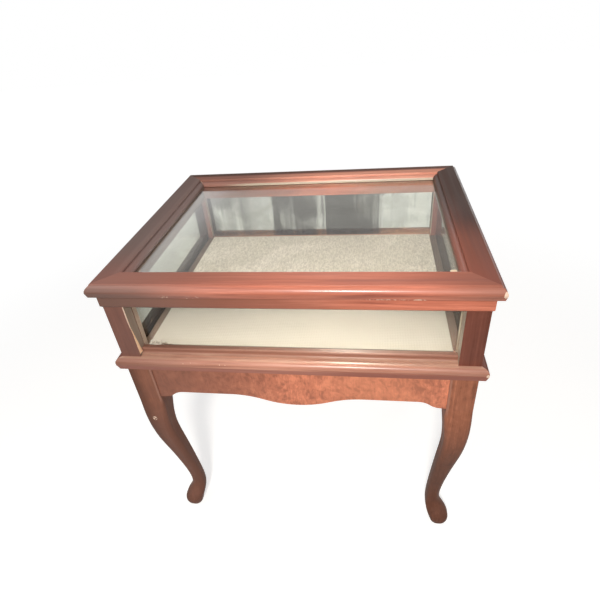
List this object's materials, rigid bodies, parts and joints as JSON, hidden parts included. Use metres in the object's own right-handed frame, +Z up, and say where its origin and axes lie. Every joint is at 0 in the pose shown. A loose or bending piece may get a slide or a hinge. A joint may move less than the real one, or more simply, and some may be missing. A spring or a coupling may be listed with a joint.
{
  "type": "display table",
  "caption": "Low display table with a hinged glass lid, glazed sides and a lined floor, on a wavy apron and cabriole legs.",
  "frame": {"origin": "on the floor, under the middle of the lid", "axes": "+Z up, front towards -Y, +X to the right seen from the front"},
  "size_m": [0.61, 0.488, 0.606],
  "materials": {
    "stained_wood": "red-brown stain under a gloss lacquer",
    "plain_wood": "unstained inner wood",
    "glass": "clear flat glass",
    "lining": "cream cloth over a thin board",
    "hinge_brass": "plain brass, slightly dulled",
    "steel": "zinc plated steel",
    "felt": "brown felt"
  },
  "bodies": {
    "case": {"case_rail_front": "stained_wood", "case_rail_right": "stained_wood", "case_rail_back": "stained_wood", "case_rail_left": "stained_wood", "post_front_left": "stained_wood", "post_front_right": "stained_wood", "post_back_right": "stained_wood", "post_back_left": "stained_wood", "pane_front": "glass", "pane_right": "glass", "pane_back": "glass", "pane_left": "glass", "sill_front": "stained_wood", "sill_right": "stained_wood", "sill_back": "stained_wood", "sill_left": "stained_wood", "base_rail_front": "stained_wood", "base_rail_right": "stained_wood", "base_rail_back": "stained_wood", "base_rail_left": "stained_wood", "floor_panel": "plain_wood", "floor_lining": "lining", "apron_front": "stained_wood", "apron_right": "stained_wood", "apron_back": "stained_wood", "apron_left": "stained_wood", "leg_front_left": "stained_wood", "leg_front_right": "stained_wood", "leg_back_right": "stained_wood", "leg_back_left": "stained_wood", "corner_block_front_left": "plain_wood", "corner_block_front_right": "plain_wood", "corner_block_back_right": "plain_wood", "corner_block_back_left": "plain_wood", "hinge_leaf_case_left": "hinge_brass", "hinge_leaf_case_right": "hinge_brass", "hinge_pin_left": "hinge_brass", "hinge_pin_right": "hinge_brass", "hinge_screws_case": "hinge_brass", "base_screws": "steel", "leg_bolts": "steel", "lid_dots": "felt"},
    "lid": {"lid_rail_front": "stained_wood", "lid_rail_right": "stained_wood", "lid_rail_back": "stained_wood", "lid_rail_left": "stained_wood", "lid_bead_front": "stained_wood", "lid_bead_right": "stained_wood", "lid_bead_back": "stained_wood", "lid_bead_left": "stained_wood", "lid_glass": "glass", "hinge_leaf_lid_left": "hinge_brass", "hinge_leaf_lid_right": "hinge_brass", "hinge_screws_lid": "hinge_brass"}
  },
  "joints": [
    {"name": "lid_hinge", "type": "hinge", "parent": "case", "child": "lid", "pos_m": [0, 0.2375, 0.5845], "axis": [-1, 0, 0], "range_deg": [0, 100]}
  ]
}
